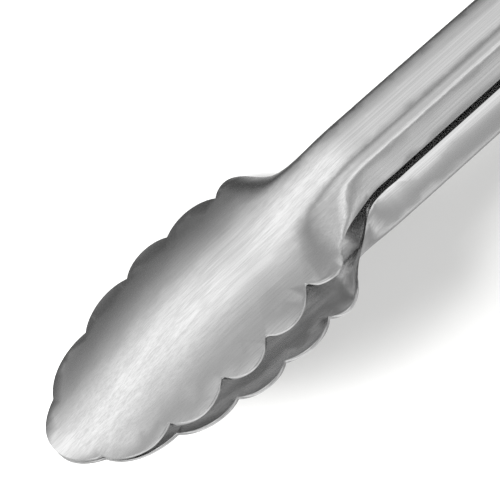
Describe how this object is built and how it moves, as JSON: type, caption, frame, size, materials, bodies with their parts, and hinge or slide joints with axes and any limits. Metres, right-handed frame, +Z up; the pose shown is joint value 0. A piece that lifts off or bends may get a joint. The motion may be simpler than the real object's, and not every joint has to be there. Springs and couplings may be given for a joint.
{
  "type": "spring loaded kitchen tongs",
  "caption": "Stainless spring loaded kitchen tongs with channel arms, dished scalloped gripping heads, a riveted hinge and a pull-ring lock.",
  "frame": {"origin": "centre of the bottom of the closed, unlocked tongs lying on their side", "axes": "+X from the hinge to the gripping tips, +Z up along the hinge pin, the front arm at -Y and the rear arm at +Y"},
  "size_m": [0.325, 0.0266, 0.0464],
  "materials": {
    "brushed_stainless_arm": "brushed along the length",
    "bright_stainless_rivet": "bright, lightly dented by peening",
    "turned_stainless_bush": "turned",
    "drawn_spring_wire": "drawn wire",
    "satin_stainless_strip": "satin, deburred edges"
  },
  "bodies": {
    "rear_arm": {"rear_arm": "brushed_stainless_arm"},
    "front_arm": {"front_arm": "brushed_stainless_arm"},
    "pin": {"hinge_pin": "bright_stainless_rivet", "rivet_washer_left": "bright_stainless_rivet", "rivet_washer_right": "bright_stainless_rivet", "spring_bush_left": "turned_stainless_bush", "spring_bush_right": "turned_stainless_bush", "torsion_spring": "drawn_spring_wire"},
    "lock": {"lock_slide": "satin_stainless_strip"}
  },
  "joints": [
    {"name": "arm_pivot", "type": "hinge", "parent": "rear_arm", "child": "front_arm", "pos_m": [-0.1275, 0, 0.0232], "axis": [0, 0, -1], "range_deg": [0, 28], "stiffness_Nm_per_rad": 0.61, "springref_deg": 46.98, "deforming": ["torsion_spring"]},
    {"name": "pin_turn", "type": "hinge", "parent": "rear_arm", "child": "pin", "pos_m": [-0.1275, 0, 0.0232], "axis": [0, 0, -1], "range_deg": [0, 14]},
    {"name": "lock_pull", "type": "slide", "parent": "pin", "child": "lock", "axis": [-1, 0, 0], "range_m": [0, 0.006]}
  ],
  "couplings": [
    {"joint": "pin_turn", "follows": "arm_pivot", "ratio": 0.5}
  ]
}
